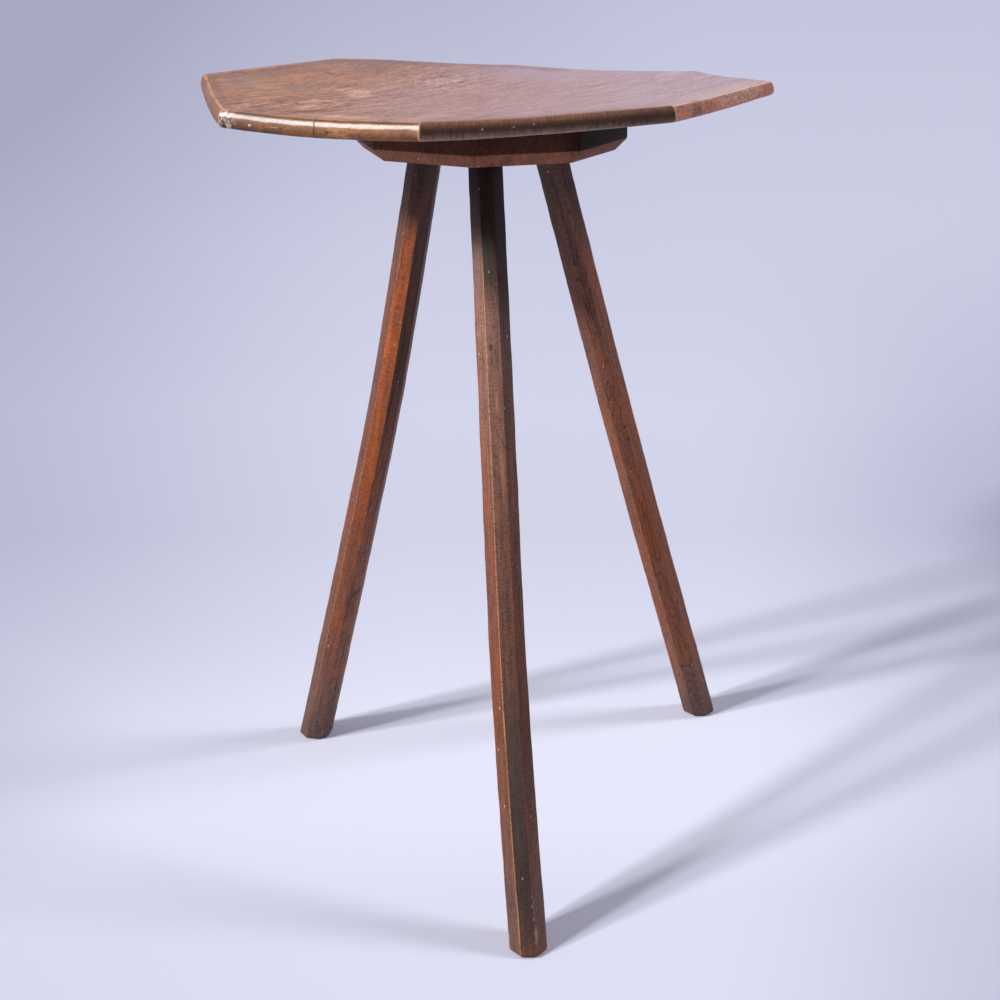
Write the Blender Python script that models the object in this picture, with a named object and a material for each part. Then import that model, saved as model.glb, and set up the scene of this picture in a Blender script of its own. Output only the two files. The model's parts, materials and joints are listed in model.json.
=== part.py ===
"""Side table: a warped octagonal board on an octagonal block, with three splayed octagonal legs.

Metres, +Z up. The origin is on the floor, midway between the table's outermost points in X and
in Y, and the front leg splays towards -Y. Angles are in degrees, counted from +X towards +Y.
"""
import math

import bmesh
import bpy
from mathutils import Vector

# Overall height and clearances
TABLE_HEIGHT = 0.700  # floor to the flat middle of the board
SEAT_GAP = 0.0003  # between two pieces that touch
CUT_OVERRUN = 0.006  # how far a cut runs past the surface that it opens

# Board: an octagon of one wide plank, cupped by age, with a rounded edge
BOARD_SIDES = 8
BOARD_CORNER_RADIUS = 0.253
BOARD_TURN = -10.4
BOARD_SHIFT_X = -0.0048  # the board's centre from the block's axis
BOARD_SHIFT_Y = 0.0027
BOARD_THICKNESS = 0.0140
LEFT_RIM_THICKNESS = 0.0152
RIGHT_RIM_THICKNESS = 0.0121
TOP_EDGE_ROUND = 0.0055  # how far the upper rounding reaches in from the edge
TOP_ROUND_DEPTH_SHARE = 0.66  # of the rim's thickness that the upper rounding takes
BOTTOM_EDGE_ROUND = 0.0034
FLAT_MIDDLE_RADIUS = 0.045
SEAT_MARGIN = 0.003  # flat underside left around the block
LARGEST_RISE = 0.0180  # of a corner above the flat middle
RIM_SAG = 0.0015  # of an edge's middle below its corners' smooth curve
LARGEST_BULGE = 0.0016  # of an edge's middle beyond its straight line
# One value per corner or edge, from the near corner left of the middle, anticlockwise
CORNER_RADIUS_SHARES = (1.000, 1.001, 0.990, 1.002, 0.998, 1.002, 1.013, 0.992)
CORNER_TURNS = (0.3, 0.1, 0.1, -0.3, 2.9, 2.0, 1.2, 0.4)
CORNER_RISE_SHARES = (0.33, 0.68, 0.81, 0.40, 0.32, 0.96, 0.92, 0.29)
EDGE_BULGE_SHARES = (0.30, 0.45, 0.0, 0.33, 0.32, 0.30, 0.90, 1.0)
EDGE_SAG_SHARES = (1.0, 1.0, 1.0, 0.9, 0.2, 1.0, 1.0, 1.0)
STEPS_PER_EDGE = 6
BOARD_RINGS = 5
ROUND_STEPS = 4
TOP_CUP_POWER = 2.0
UNDERSIDE_CUP_POWER = 1.5

# Block: an octagon with a chamfered lower edge
BLOCK_SIDES = 8
BLOCK_CORNER_RADIUS = 0.1222
BLOCK_TURN = -6.6
BLOCK_THICKNESS = 0.032
BLOCK_CHAMFER_HEIGHT = 0.0105
BLOCK_CHAMFER_DEPTH = 0.0105

# Legs: octagonal, tapering upwards, each with its own splay and bow
LEG_SIDES = 8
LEG_WIDTH_TOP = 0.0288  # across flats
LEG_WIDTH_FOOT = 0.0330
FOOT_ROUND = 0.0045
FOOT_ROUND_STEPS = 3
LEG_STATIONS = 22
FRONT_TOP_RADIUS = 0.0624
FRONT_FOOT_RADIUS = 0.2637
FRONT_BOW = -0.0039
LEFT_TOP_RADIUS = 0.0643
LEFT_FOOT_RADIUS = 0.2257
LEFT_BOW = 0.0066
RIGHT_TOP_RADIUS = 0.0622
RIGHT_FOOT_RADIUS = 0.2788
RIGHT_BOW = -0.0026
# Each bow along +X, at equal steps from the foot to the block
FRONT_BOW_SHARES = (0.0, 0.69, 1.00, 0.67, 0.33, 0.0)
LEFT_BOW_SHARES = (0.0, 0.41, 0.77, 1.00, 0.58, -0.12)
RIGHT_BOW_SHARES = (0.0, 0.40, 0.95, 0.97, 0.60, 0.0)
# name: top radius, top angle, foot radius, foot angle, bow, its shares, turn of a face from -Y
LEGS = {
    "front": (FRONT_TOP_RADIUS, -92.5, FRONT_FOOT_RADIUS, -83.6, FRONT_BOW, FRONT_BOW_SHARES, 0.0),
    "left": (LEFT_TOP_RADIUS, 148.4, LEFT_FOOT_RADIUS, 152.0, LEFT_BOW, LEFT_BOW_SHARES, -11.0),
    "right": (RIGHT_TOP_RADIUS, 29.7, RIGHT_FOOT_RADIUS, 32.1, RIGHT_BOW, RIGHT_BOW_SHARES, -3.0),
}

# Joint of leg and block: a round tenon in a through hole, spread by a wedge
TENON_RADIUS = 0.0095
TENON_SIDES = 32
TENON_ROOT = 0.012  # length of the tenon that is one with the leg
KERF_WIDTH = 0.0034
KERF_END_WIDTH = 0.0014
KERF_DEPTH = 0.020
WEDGE_LENGTH_SHARE = 0.9  # of the tenon's diameter

# Screws that hold the block to the board
SCREW_CIRCLE_RADIUS = 0.082
SCREW_ANGLES = {"rear": 90.0, "left": 207.0, "right": -32.0}
SCREW_HEAD_RADIUS = 0.0047
SCREW_HEAD_HEIGHT = 0.0026
SCREW_RIM_HEIGHT = 0.0004
SCREW_SHANK_RADIUS = 0.0024
SCREW_TIP_LENGTH = 0.0030
SCREW_TIP_RADIUS = 0.0006
SCREW_RECESS = 0.0012
SCREW_SIDES = 24
SLOT_WIDTH = 0.0012
SLOT_DEPTH = 0.0012
BITE_SHARE = 0.6  # of the board's thickness that the screw enters

# Levels that follow from the sizes above
BOARD_UNDERSIDE = TABLE_HEIGHT - BOARD_THICKNESS
BLOCK_TOP = BOARD_UNDERSIDE - SEAT_GAP
BLOCK_BOTTOM = BLOCK_TOP - BLOCK_THICKNESS
SHOULDER = BLOCK_BOTTOM - SEAT_GAP

# name: colour, roughness share, metal share
FINISHES = {
    "board_wood": ((0.26, 0.125, 0.075), 0.35, 0.0),
    "block_wood": ((0.085, 0.036, 0.025), 0.55, 0.0),
    "leg_wood": ((0.17, 0.065, 0.037), 0.45, 0.0),
    "wedge_wood": ((0.30, 0.17, 0.09), 0.6, 0.0),
    "screw_steel": ((0.20, 0.19, 0.18), 0.5, 0.9),
}


def clear_scene():
    """Empty the scene of whatever it holds."""
    for old in list(bpy.data.objects):
        bpy.data.objects.remove(old, do_unlink=True)


def material(name):
    """Return the Principled material of a finish."""
    color, roughness, metallic = FINISHES[name]
    made = bpy.data.materials.new(name)
    made.use_nodes = True
    shader = made.node_tree.nodes["Principled BSDF"]
    shader.inputs["Base Color"].default_value = (*color, 1.0)
    shader.inputs["Roughness"].default_value = roughness
    shader.inputs["Metallic"].default_value = metallic
    return made


def add_object(name, bm, finish=None, smooth_angle=30.0):
    """Turn a bmesh into an object of the scene."""
    bmesh.ops.recalc_face_normals(bm, faces=bm.faces)
    mesh = bpy.data.meshes.new(name)
    bm.to_mesh(mesh)
    bm.free()
    if finish:
        mesh.materials.append(finish)
    mesh.shade_smooth()
    mesh.set_sharp_from_angle(angle=math.radians(smooth_angle))
    made = bpy.data.objects.new(name, mesh)
    bpy.context.scene.collection.objects.link(made)
    return made


def combine(target, other, operation):
    """Join another solid to the target, or cut it away; the other one is only a guide."""
    other.hide_render = True
    other.display_type = "WIRE"
    step = target.modifiers.new(other.name, "BOOLEAN")
    step.operation = operation
    step.solver = "EXACT"
    step.object = other


def polar(radius, degrees, height=0.0):
    """Return a point at a radius and an angle around the block's axis."""
    angle = math.radians(degrees)
    return Vector((radius * math.cos(angle), radius * math.sin(angle), height))


def loft(rings):
    """Return a closed bmesh through rings of equally many points, with flat ends."""
    bm = bmesh.new()
    rows = [[bm.verts.new(point) for point in ring] for ring in rings]
    for lower, upper in zip(rows, rows[1:]):
        for i, corner in enumerate(lower):
            after = (i + 1) % len(lower)
            bm.faces.new((corner, lower[after], upper[after], upper[i]))
    bm.faces.new(rows[0][::-1])
    bm.faces.new(rows[-1])
    return bm


def smooth_value(values, place, closed):
    """Read a smooth curve through equally spaced values, at a place counted in steps."""
    count = len(values)
    first = min(int(place), count - 1 if closed else count - 2)
    share = place - first
    if closed:
        before, start, end, after = (values[(first + i) % count] for i in (-1, 0, 1, 2))
    else:
        start, end = values[first], values[first + 1]
        before = values[first - 1] if first else 2 * start - end
        after = values[first + 2] if first + 2 < count else 2 * end - start
    slope_in, slope_out = (end - before) / 2, (after - start) / 2
    bend = 2 * (start - end) + slope_in + slope_out
    lean = 3 * (end - start) - 2 * slope_in - slope_out
    return ((bend * share + lean) * share + slope_in) * share + start


def board_corner(index):
    """Return one corner of the board in plan, from the board's centre."""
    index %= BOARD_SIDES
    turn = 360.0 / BOARD_SIDES * index + BOARD_TURN + CORNER_TURNS[index] - 90.0
    return polar(BOARD_CORNER_RADIUS * CORNER_RADIUS_SHARES[index], turn)


def board_columns():
    """Return each point of the outline with the rim's rise and thickness there."""
    columns = []
    for edge in range(BOARD_SIDES):
        start, end = board_corner(edge), board_corner(edge + 1)
        along = (end - start).normalized()
        outwards = Vector((along.y, -along.x, 0.0))
        for step in range(STEPS_PER_EDGE):
            share = step / STEPS_PER_EDGE
            belly = 4.0 * share * (1.0 - share)
            bulge = LARGEST_BULGE * EDGE_BULGE_SHARES[edge] * belly
            point = start.lerp(end, share) + outwards * bulge
            rise_share = smooth_value(CORNER_RISE_SHARES, edge + share, closed=True)
            rise = LARGEST_RISE * rise_share - RIM_SAG * EDGE_SAG_SHARES[edge] * belly
            right_share = (point.x / BOARD_CORNER_RADIUS + 1.0) / 2.0
            thickness = LEFT_RIM_THICKNESS + (RIGHT_RIM_THICKNESS - LEFT_RIM_THICKNESS) * right_share
            columns.append((point, rise, thickness))
    return columns


def board_section(point, rise, thickness):
    """Return one radial section of the board, from the middle of its top to its underside."""
    apothem = BOARD_CORNER_RADIUS * math.cos(math.pi / BOARD_SIDES)
    radius, outwards = point.length, point.normalized()

    def inset_radius(inset):
        return radius * (1.0 - inset / apothem)

    def surface(at_radius):
        share = (at_radius - FLAT_MIDDLE_RADIUS) / (radius - FLAT_MIDDLE_RADIUS)
        return TABLE_HEIGHT + rise * share**TOP_CUP_POWER

    section = []
    rim = inset_radius(TOP_EDGE_ROUND)
    round_depth = thickness * TOP_ROUND_DEPTH_SHARE
    for ring in range(BOARD_RINGS):
        at = FLAT_MIDDLE_RADIUS + (rim - FLAT_MIDDLE_RADIUS) * ring / BOARD_RINGS
        section.append((at, surface(at)))
    for step in range(ROUND_STEPS + 1):
        angle = math.pi / 2 * step / ROUND_STEPS
        at = inset_radius(TOP_EDGE_ROUND * (1.0 - math.sin(angle)))
        section.append((at, surface(at) - round_depth * (1.0 - math.cos(angle))))
    for step in range(ROUND_STEPS + 1):
        angle = math.pi / 2 * step / ROUND_STEPS
        at = inset_radius(BOTTOM_EDGE_ROUND * (1.0 - math.cos(angle)))
        level = surface(at) - thickness + BOTTOM_EDGE_ROUND * (1.0 - math.sin(angle))
        section.append((at, level))
    lip, lip_level = section[-1]
    seat = BLOCK_CORNER_RADIUS + math.hypot(BOARD_SHIFT_X, BOARD_SHIFT_Y) + SEAT_MARGIN
    for ring in range(1, BOARD_RINGS + 1):
        share = 1.0 - ring / BOARD_RINGS
        at = seat + (lip - seat) * share
        level = BOARD_UNDERSIDE + (lip_level - BOARD_UNDERSIDE) * share**UNDERSIDE_CUP_POWER
        section.append((at, level))
    shift = Vector((BOARD_SHIFT_X, BOARD_SHIFT_Y, 0.0))
    return [shift + outwards * at + Vector((0.0, 0.0, level)) for at, level in section]


def build_board():
    """Make the warped board, with pilot holes for the screws."""
    sections = [board_section(*column) for column in board_columns()]
    rings = [list(ring) for ring in zip(*sections)][::-1]
    board = add_object("top_board", loft(rings), material("board_wood"))
    for name, degrees in SCREW_ANGLES.items():
        pilot = turned(f"pilot_{name}", screw_profile(SEAT_GAP, pilot=True), degrees)
        combine(board, pilot, "DIFFERENCE")
    return board


def octagon(radius, height):
    """Return the block's outline at a height."""
    step = 360.0 / BLOCK_SIDES
    return [polar(radius, BLOCK_TURN - 90.0 + step * i, height) for i in range(BLOCK_SIDES)]


def build_block():
    """Make the chamfered block, bored for the tenons and the screws."""
    inner = BLOCK_CORNER_RADIUS - BLOCK_CHAMFER_DEPTH
    rings = [
        octagon(inner, BLOCK_BOTTOM),
        octagon(BLOCK_CORNER_RADIUS, BLOCK_BOTTOM + BLOCK_CHAMFER_HEIGHT),
        octagon(BLOCK_CORNER_RADIUS, BLOCK_TOP),
    ]
    block = add_object("under_block", loft(rings), material("block_wood"))
    for name in LEGS:
        foot, top = leg_ends(name)
        axis = (top - foot).normalized()
        below = top - axis * CUT_OVERRUN
        above = level_point(top, axis, BLOCK_TOP) + axis * CUT_OVERRUN
        combine(block, rod(f"mortise_{name}", below, above, TENON_RADIUS + SEAT_GAP), "DIFFERENCE")
    for name, degrees in SCREW_ANGLES.items():
        hole = turned(f"screw_hole_{name}", screw_profile(SEAT_GAP, pilot=False), degrees)
        combine(block, hole, "DIFFERENCE")
    return block


def leg_ends(name):
    """Return the middle of a leg's foot on the floor, and of its top at the block's underside."""
    top_radius, top_angle, foot_radius, foot_angle = LEGS[name][:4]
    return polar(foot_radius, foot_angle), polar(top_radius, top_angle, BLOCK_BOTTOM)


def level_point(origin, axis, height):
    """Return the point where a line from the origin along the axis reaches a height."""
    return origin + axis * ((height - origin.z) / axis.z)


def across(axis, direction):
    """Return the unit vector nearest to a direction that is square to the axis."""
    return (direction - axis * direction.dot(axis)).normalized()


def ring_around(centre, axis, facing, radius, count, first_angle=0.0):
    """Return points of a regular polygon square to the axis."""
    side = axis.cross(facing)
    points = []
    for i in range(count):
        angle = math.radians(first_angle) + math.tau * i / count
        points.append(centre + (facing * math.cos(angle) + side * math.sin(angle)) * radius)
    return points


def level_ring(ring, axis, height):
    """Slide the points of a ring along the axis to one height."""
    return [level_point(point, axis, height) for point in ring]


def rod(name, start, end, radius):
    """Make a round rod between two points."""
    axis = (end - start).normalized()
    facing = across(axis, Vector((1.0, 0.0, 0.0)))
    rings = [ring_around(point, axis, facing, radius, TENON_SIDES) for point in (start, end)]
    return add_object(name, loft(rings))


def leg_section(name, height, inset=0.0):
    """Return the level outline of a leg at a height."""
    foot, top = leg_ends(name)
    bow, bow_shares, face_turn = LEGS[name][4:]
    axis = (top - foot).normalized()
    share = height / top.z
    bend = bow * smooth_value(bow_shares, share * (len(bow_shares) - 1), closed=False)
    centre = foot.lerp(top, share) + Vector((bend, 0.0, 0.0))
    half_side = math.pi / LEG_SIDES
    half_width = (LEG_WIDTH_FOOT + (LEG_WIDTH_TOP - LEG_WIDTH_FOOT) * share) / 2.0 - inset
    front = across(axis, Vector((0.0, -1.0, 0.0)))
    turn = face_turn + math.degrees(half_side)
    ring = ring_around(centre, axis, front, half_width / math.cos(half_side), LEG_SIDES, turn)
    return level_ring(ring, axis, height)


def leg_shape(name):
    """Return the bowed, tapering octagonal shaft, rounded at its level foot."""
    rings = []
    for step in range(FOOT_ROUND_STEPS + 1):
        angle = math.pi / 2 * step / FOOT_ROUND_STEPS
        height, inset = FOOT_ROUND * (1.0 - math.cos(angle)), FOOT_ROUND * (1.0 - math.sin(angle))
        rings.append(leg_section(name, height, inset))
    for station in range(1, LEG_STATIONS + 1):
        height = FOOT_ROUND + (SHOULDER - FOOT_ROUND) * station / LEG_STATIONS
        rings.append(leg_section(name, height))
    return loft(rings)


def tenon_shape(name):
    """Return a leg's round tenon, flush with the top of the block."""
    foot, top = leg_ends(name)
    axis = (top - foot).normalized()
    facing = across(axis, Vector((1.0, 0.0, 0.0)))
    root = ring_around(top - axis * TENON_ROOT, axis, facing, TENON_RADIUS, TENON_SIDES)
    return loft([root, level_ring(root, axis, BLOCK_TOP)])


def kerf_shape(name, gap):
    """Return the saw cut in a tenon, or the wedge that fills it when a gap is given."""
    foot, top = leg_ends(name)
    axis = (top - foot).normalized()
    along = across(axis, Vector((0.0, 1.0, 0.0)))
    thick = axis.cross(along)
    mouth = level_point(top, axis, BLOCK_TOP)
    taper = (KERF_WIDTH - KERF_END_WIDTH) / KERF_DEPTH
    half_length = TENON_RADIUS * WEDGE_LENGTH_SHARE if gap else TENON_RADIUS + CUT_OVERRUN
    rings = []
    for depth in (KERF_DEPTH - gap, 0.0 if gap else -CUT_OVERRUN):
        half_width = (KERF_WIDTH - taper * depth) / 2.0 - gap
        middle = mouth - axis * depth
        corners = ((-1, -1), (1, -1), (1, 1), (-1, 1))
        rings.append([middle + along * half_length * a + thick * half_width * b for a, b in corners])
    if gap:
        rings[-1] = level_ring(rings[-1], axis, BLOCK_TOP)
    return loft(rings)


def build_leg(name, wood):
    """Make one leg with its tenon, which is sawn for the wedge."""
    leg = add_object(f"leg_{name}", leg_shape(name), wood, smooth_angle=20.0)
    combine(leg, add_object(f"tenon_{name}", tenon_shape(name)), "UNION")
    combine(leg, add_object(f"kerf_{name}", kerf_shape(name, 0.0)), "DIFFERENCE")
    return leg


def turned(name, profile, degrees, finish=None):
    """Make a round solid about a vertical axis on the screw circle, from radius and height pairs."""
    upwards, facing = Vector((0.0, 0.0, 1.0)), Vector((1.0, 0.0, 0.0))
    rings = []
    for radius, height in profile:
        middle = polar(SCREW_CIRCLE_RADIUS, degrees, height)
        rings.append(ring_around(middle, upwards, facing, radius, SCREW_SIDES))
    return add_object(name, loft(rings), finish)


def screw_profile(gap=0.0, pilot=False):
    """Return a screw's profile from head to tip, or its hole's when a gap is given."""
    head = BLOCK_BOTTOM + SCREW_RECESS
    neck = head + SCREW_RIM_HEIGHT + SCREW_HEAD_HEIGHT
    tip = BOARD_UNDERSIDE + BOARD_THICKNESS * BITE_SHARE
    shank = SCREW_SHANK_RADIUS + gap
    if pilot:
        below = BOARD_UNDERSIDE - CUT_OVERRUN
        return [(shank, below), (shank, tip - SCREW_TIP_LENGTH), (SCREW_TIP_RADIUS + gap, tip + gap)]
    wide = SCREW_HEAD_RADIUS + gap
    start = BLOCK_BOTTOM - CUT_OVERRUN if gap else head
    profile = [(wide, start), (wide, head + SCREW_RIM_HEIGHT), (shank, neck)]
    if gap:
        return profile + [(shank, BLOCK_TOP + CUT_OVERRUN)]
    return profile + [(shank, tip - SCREW_TIP_LENGTH), (SCREW_TIP_RADIUS, tip)]


def build_screw(name, degrees, steel):
    """Make one countersunk screw, head down, with its slot."""
    screw = turned(f"screw_{name}", screw_profile(), degrees, steel)
    along = polar(1.0, degrees + 90.0)
    thick = polar(1.0, degrees)
    head = BLOCK_BOTTOM + SCREW_RECESS
    rings = []
    for height in (head - CUT_OVERRUN, head + SLOT_DEPTH):
        middle = polar(SCREW_CIRCLE_RADIUS, degrees, height)
        reach, half = SCREW_HEAD_RADIUS + CUT_OVERRUN, SLOT_WIDTH / 2.0
        corners = ((-1, -1), (1, -1), (1, 1), (-1, 1))
        rings.append([middle + along * reach * a + thick * half * b for a, b in corners])
    combine(screw, add_object(f"slot_{name}", loft(rings)), "DIFFERENCE")
    return screw


def centre_on_floor():
    """Move everything so that the origin is midway between the outermost points in X and Y."""
    shown = [item for item in bpy.data.objects if not item.hide_render]
    points = [vertex.co for item in shown for vertex in item.data.vertices]
    for axis in (0, 1):
        values = [point[axis] for point in points]
        middle = (min(values) + max(values)) / 2.0
        for item in bpy.data.objects:
            item.location[axis] -= middle


def build_table():
    """Make every piece of the table."""
    clear_scene()
    build_board()
    build_block()
    leg_wood = material("leg_wood")
    wedge_wood = material("wedge_wood")
    steel = material("screw_steel")
    for name in LEGS:
        build_leg(name, leg_wood)
        add_object(f"wedge_{name}", kerf_shape(name, SEAT_GAP), wedge_wood)
    for name, degrees in SCREW_ANGLES.items():
        build_screw(name, degrees, steel)
    centre_on_floor()


build_table()
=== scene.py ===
"""Looks of an old side table: a warped octagonal board on a chamfered block and three hewn legs.

Everything is in metres in the part's own frame, unless a comment says otherwise. Heights run up
from the floor, and the front leg splays towards -Y. Angles are in degrees, counted from +X towards +Y.
"""

import json
from math import cos, hypot, pi, radians, sin

import bpy
import numpy as np
from mathutils import Matrix, Vector

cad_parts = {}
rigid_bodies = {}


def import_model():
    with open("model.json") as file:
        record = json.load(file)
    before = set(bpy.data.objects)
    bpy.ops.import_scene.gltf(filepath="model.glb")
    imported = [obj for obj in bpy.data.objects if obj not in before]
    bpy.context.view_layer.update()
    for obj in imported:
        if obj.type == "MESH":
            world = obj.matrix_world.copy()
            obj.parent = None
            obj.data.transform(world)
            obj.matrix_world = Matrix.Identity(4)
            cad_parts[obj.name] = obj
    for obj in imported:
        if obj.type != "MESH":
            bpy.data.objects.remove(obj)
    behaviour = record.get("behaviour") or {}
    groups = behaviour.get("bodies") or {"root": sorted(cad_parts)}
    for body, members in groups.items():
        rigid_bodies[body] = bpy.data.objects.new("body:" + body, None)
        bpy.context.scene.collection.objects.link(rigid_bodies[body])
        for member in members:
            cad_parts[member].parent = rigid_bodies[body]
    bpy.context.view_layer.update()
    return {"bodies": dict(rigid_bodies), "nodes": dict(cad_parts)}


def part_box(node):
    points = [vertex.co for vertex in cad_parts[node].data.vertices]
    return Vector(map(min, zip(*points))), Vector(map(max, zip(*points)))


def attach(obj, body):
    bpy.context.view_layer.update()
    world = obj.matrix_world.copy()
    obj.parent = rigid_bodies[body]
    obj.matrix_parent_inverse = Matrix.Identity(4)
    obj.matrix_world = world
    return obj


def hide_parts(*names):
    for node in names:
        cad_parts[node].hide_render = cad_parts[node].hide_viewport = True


bl_info = {
    "name": "Octagonal side table",
    "version": (1, 0, 0),
    "blender": (4, 5, 0),
    "location": "3D View > Sidebar > Side Table",
    "description": "Dresses an octagonal tripod side table in old stained wood",
    "category": "Object",
}

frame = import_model()
UV_NAME = "run"
SAME_PLACE = 0.00001

# Sockets of a Mix node for colours
MIX_SHARE, MIX_FIRST, MIX_SECOND, MIX_RESULT = 0, 6, 7, 2

# Camera, matched to the photograph's view
CAMERA_PLACE = (0.0044, -1.2686, 0.8268)
CAMERA_DOWN = 21.578
CAMERA_RIGHT = 0.296
CAMERA_ROLL = -0.375
CAMERA_LENS_MM = 51.13
SENSOR_MM = 36.0

# Lamps: name, turn and height of the place that it shines from, strength, width as seen from the table
LAMPS = (
    ("key_near", 212.4, 31.0, 1.75, 5.5),
    ("key_far", 204.6, 31.6, 1.6, 5.5),
    ("right", 2.0, 43.0, 1.05, 14.0))

# Light all round: what fills the shadows, and what shows in reflections: a backdrop that is pale at
# the right, the dark room in front, and a tall softbox. Limits are parts of a direction of length 1
FILL_LIGHT = (0.195, 0.195, 0.245)
BACKDROP_LEFT = (0.24, 0.245, 0.32)
BACKDROP_RIGHT = (0.66, 0.68, 0.88)
BACKDROP_LIMITS = (-0.7, 0.5)
DARK_ROOM = (0.2, 0.18, 0.2)
ROOM_LIMITS = (-0.25, -0.75)
SOFTBOX = (16.5, 16.2, 16.0)
SOFTBOX_FROM = 185.0
SOFTBOX_HALF_WIDTH = 0.29
SOFTBOX_HEIGHTS = (0.24, 0.74)
SOFTBOX_BLUR = 0.07
SOFTBOX_BEYOND = 2.0

# Floor: a painted pool of light, as nearness to the camera and how light the floor is there, from far off to
# close by
POOL_OF_LIGHT = (
    (0.03, 0.2), (0.2, 0.5), (0.32, 0.62), (0.42, 0.6), (0.5, 0.75),
    (0.6, 0.99), (0.68, 0.98), (0.76, 0.84), (0.9, 0.8))

# Floor: where the paper ends in front of the picture, for reflections and bounced light
PAPER_FRONT = (-1.7, -1.0)

# Floor: where its painted light grows darker behind the camera, as it does far off in the picture
DARK_BEHIND = (-9.0, -2.5)

# Floor: how far it lies below the feet, so that they don't share a plane
FLOOR_DROP = 0.0002

# Cells of scattered spots: how far from a cell's middle a spot is full, and where it ends
SPECK_CORE, SPECK_RIM = 0.28, 0.38

# Every piece: triangles within this angle of each other are one flat face
FLAT_ANGLE = 12

# Board: its level middle, and how its outline is read from the frame. Columns are the lines of
# points that run down over the rim; reaches are distances from the middle
TOP_LEVEL = 0.7
BOARD_SIDES = 8
NEAR_CORNER_ANGLE = -100.0
FLAT_REACH = 0.08
INNER_REACH = 0.15
OUTER_REACH = 0.2
RIM_REACH = 0.0068
COLUMN_STEP = 1.0
SMALL_TURN = 0.01
RIM_BAND = 0.02
EDGE_LENGTH = 0.193

# Board: how much finer its mesh is made, the waves of its planing and knocks, how far above the block
# its seat stays as it is, and the angle from which an edge looks sharp
BOARD_LEVELS = 3
PLANE_WAVE = 0.05
KNOCK_WAVE = 0.006
SEAT_MARGIN = 0.0008
BOARD_CREASE = 28

# Board: its grain, which swells round a knot
GRAIN_ANGLE = 58.0
KNOT = (-0.148, 0.0197)
KNOT_SWELL = 0.011

# Marks on the board's face, in millimetres: place, half-sizes, turn, strength
THIN_MARK = 7
PALE_SPOTS = (
    (-115, 32, 22, 26, 30, 0.9),
    (-107, 0, 16, 22, 0, 0.7),
    (-145, -90, 36, 6, 54, 0.75),
    (-166, -104, 30, 4.5, 52, 0.6),
    (-186, -92, 26, 4, 55, 0.5),
    (-120, -56, 12, 10, 40, 0.7),
    (108, 104, 9, 16, 0, 0.38),
    (102, 190, 6, 20, 0, 0.2),
    (-50, 122, 50, 5, 66, 0.6),
    (-22, 178, 42, 5, 58, 0.55),
    (-30, 125, 36, 4, 70, 0.4),
    (-88, 66, 26, 5, 52, 0.45),
    (-105, -168, 38, 17, -33, 0.7),
    (-142, -50, 22, 14, 60, 0.35),
    (-187, 20, 20, 30, 60, 0.15))
GREY_SPOTS = (
    (-158, 22, 20, 24, 70, 0.75),
    (-93, -40, 13, 28, 80, 0.65),
    (-60, 70, 12, 20, 60, 0.3),
    (50, 232, 50, 14, -30, 0.6),
    (-95, 216, 65, 16, 14, 0.75),
    (-120, 172, 50, 36, 30, 0.45),
    (110, -172, 100, 26, 10, 0.28),
    (212, 150, 22, 34, 20, 0.4),
    (-205, 85, 16, 50, -30, 0.4),
    (-75, 8, 12, 40, 75, 0.4),
    (48, -160, 10, 14, 10, 0.35),
    (-215, 30, 16, 60, 14, 0.45))
DARK_STROKES = (
    (-110, -75, 7, 4.5, 20, 0.95),
    (-118, -82, 6, 3.5, 40, 0.8),
    (-112, -62, 5, 4, 10, 0.8),
    (-139, -127, 32, 5.5, 50, 0.85),
    (-158, -146, 12, 6, 60, 0.7),
    (-172, -112, 32, 3, 54, 0.7),
    (-155, -85, 30, 3, 54, 0.6),
    (-195, -85, 30, 3, 56, 0.5),
    (-146, 129, 11, 3.6, 135, 0.95),
    (-58, 104, 14, 4, 68, 0.75),
    (-22, 117, 12, 3.5, 75, 0.65),
    (-36, 160, 40, 3.5, 62, 0.5),
    (-66, 85, 28, 3.5, 60, 0.45),
    (-100, 222, 16, 4, 14, 0.6),
    (-73, 215, 10, 3.5, 20, 0.5),
    (-126, -170, 14, 4, 75, 0.5),
    (47, -160, 4, 8, 10, 0.5))

# Marks on the board's edge: place as side number and share of the way over, half-sizes, colour
EDGE_MARKS = (
    ((7.17, 0.62), (0.01, 0.06), "edge_scuffed"),
    ((7.335, 0.6), (0.009, 0.06), "edge_black"),
    ((7.57, 0.63), (0.01, 0.07), "edge_black"),
    ((7.6, 0.12), (0.02, 0.05), "edge_black"),
    ((7.3, 0.6), (0.03, 0.04), "edge_gold"),
    ((0.24, 0.5), (0.003, 0.06), "edge_scuffed"),
    ((0.36, 0.48), (0.0025, 0.05), "edge_scuffed"),
    ((0.438, 0.42), (0.0025, 0.05), "edge_scuffed"))

# Borders of the board's face that are darker, greyer or brighter: how far inside the rim and how
# soft, middle and half of the run of sides and how soft, strength, colour
FACE_BORDERS = (
    (0.2, (0.1, 0.2), 6.5, 0.5, 0.02, 0.3, "board_dark"),
    (0.3, (0.4, 0.9), 0.55, 0.45, 0.1, 0.58, "board_grey"),
    (0.3, (0.3, 0.8), 1.5, 0.5, 0.2, 0.4, "board_bright"),
    (0.3, (0.3, 0.7), 4.7, 0.6, 0.3, 0.4, "board_grey"))

# Block: its chamfer, and the share of its reach beyond which its edges are worn
CHAMFER_HEIGHT = 0.0105
BLOCK_RIM_SHARE = 0.9
BLOCK_CREASE = 25

# Legs: how their corners are read from the frame
LEG_NAMES = ("front", "left", "right")
LEG_SIDES = 8
LEG_LEAST_REACH = 0.0118
FIRST_CORNER_ANGLE = -180.0
LEG_HEIGHT = 0.654

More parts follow.
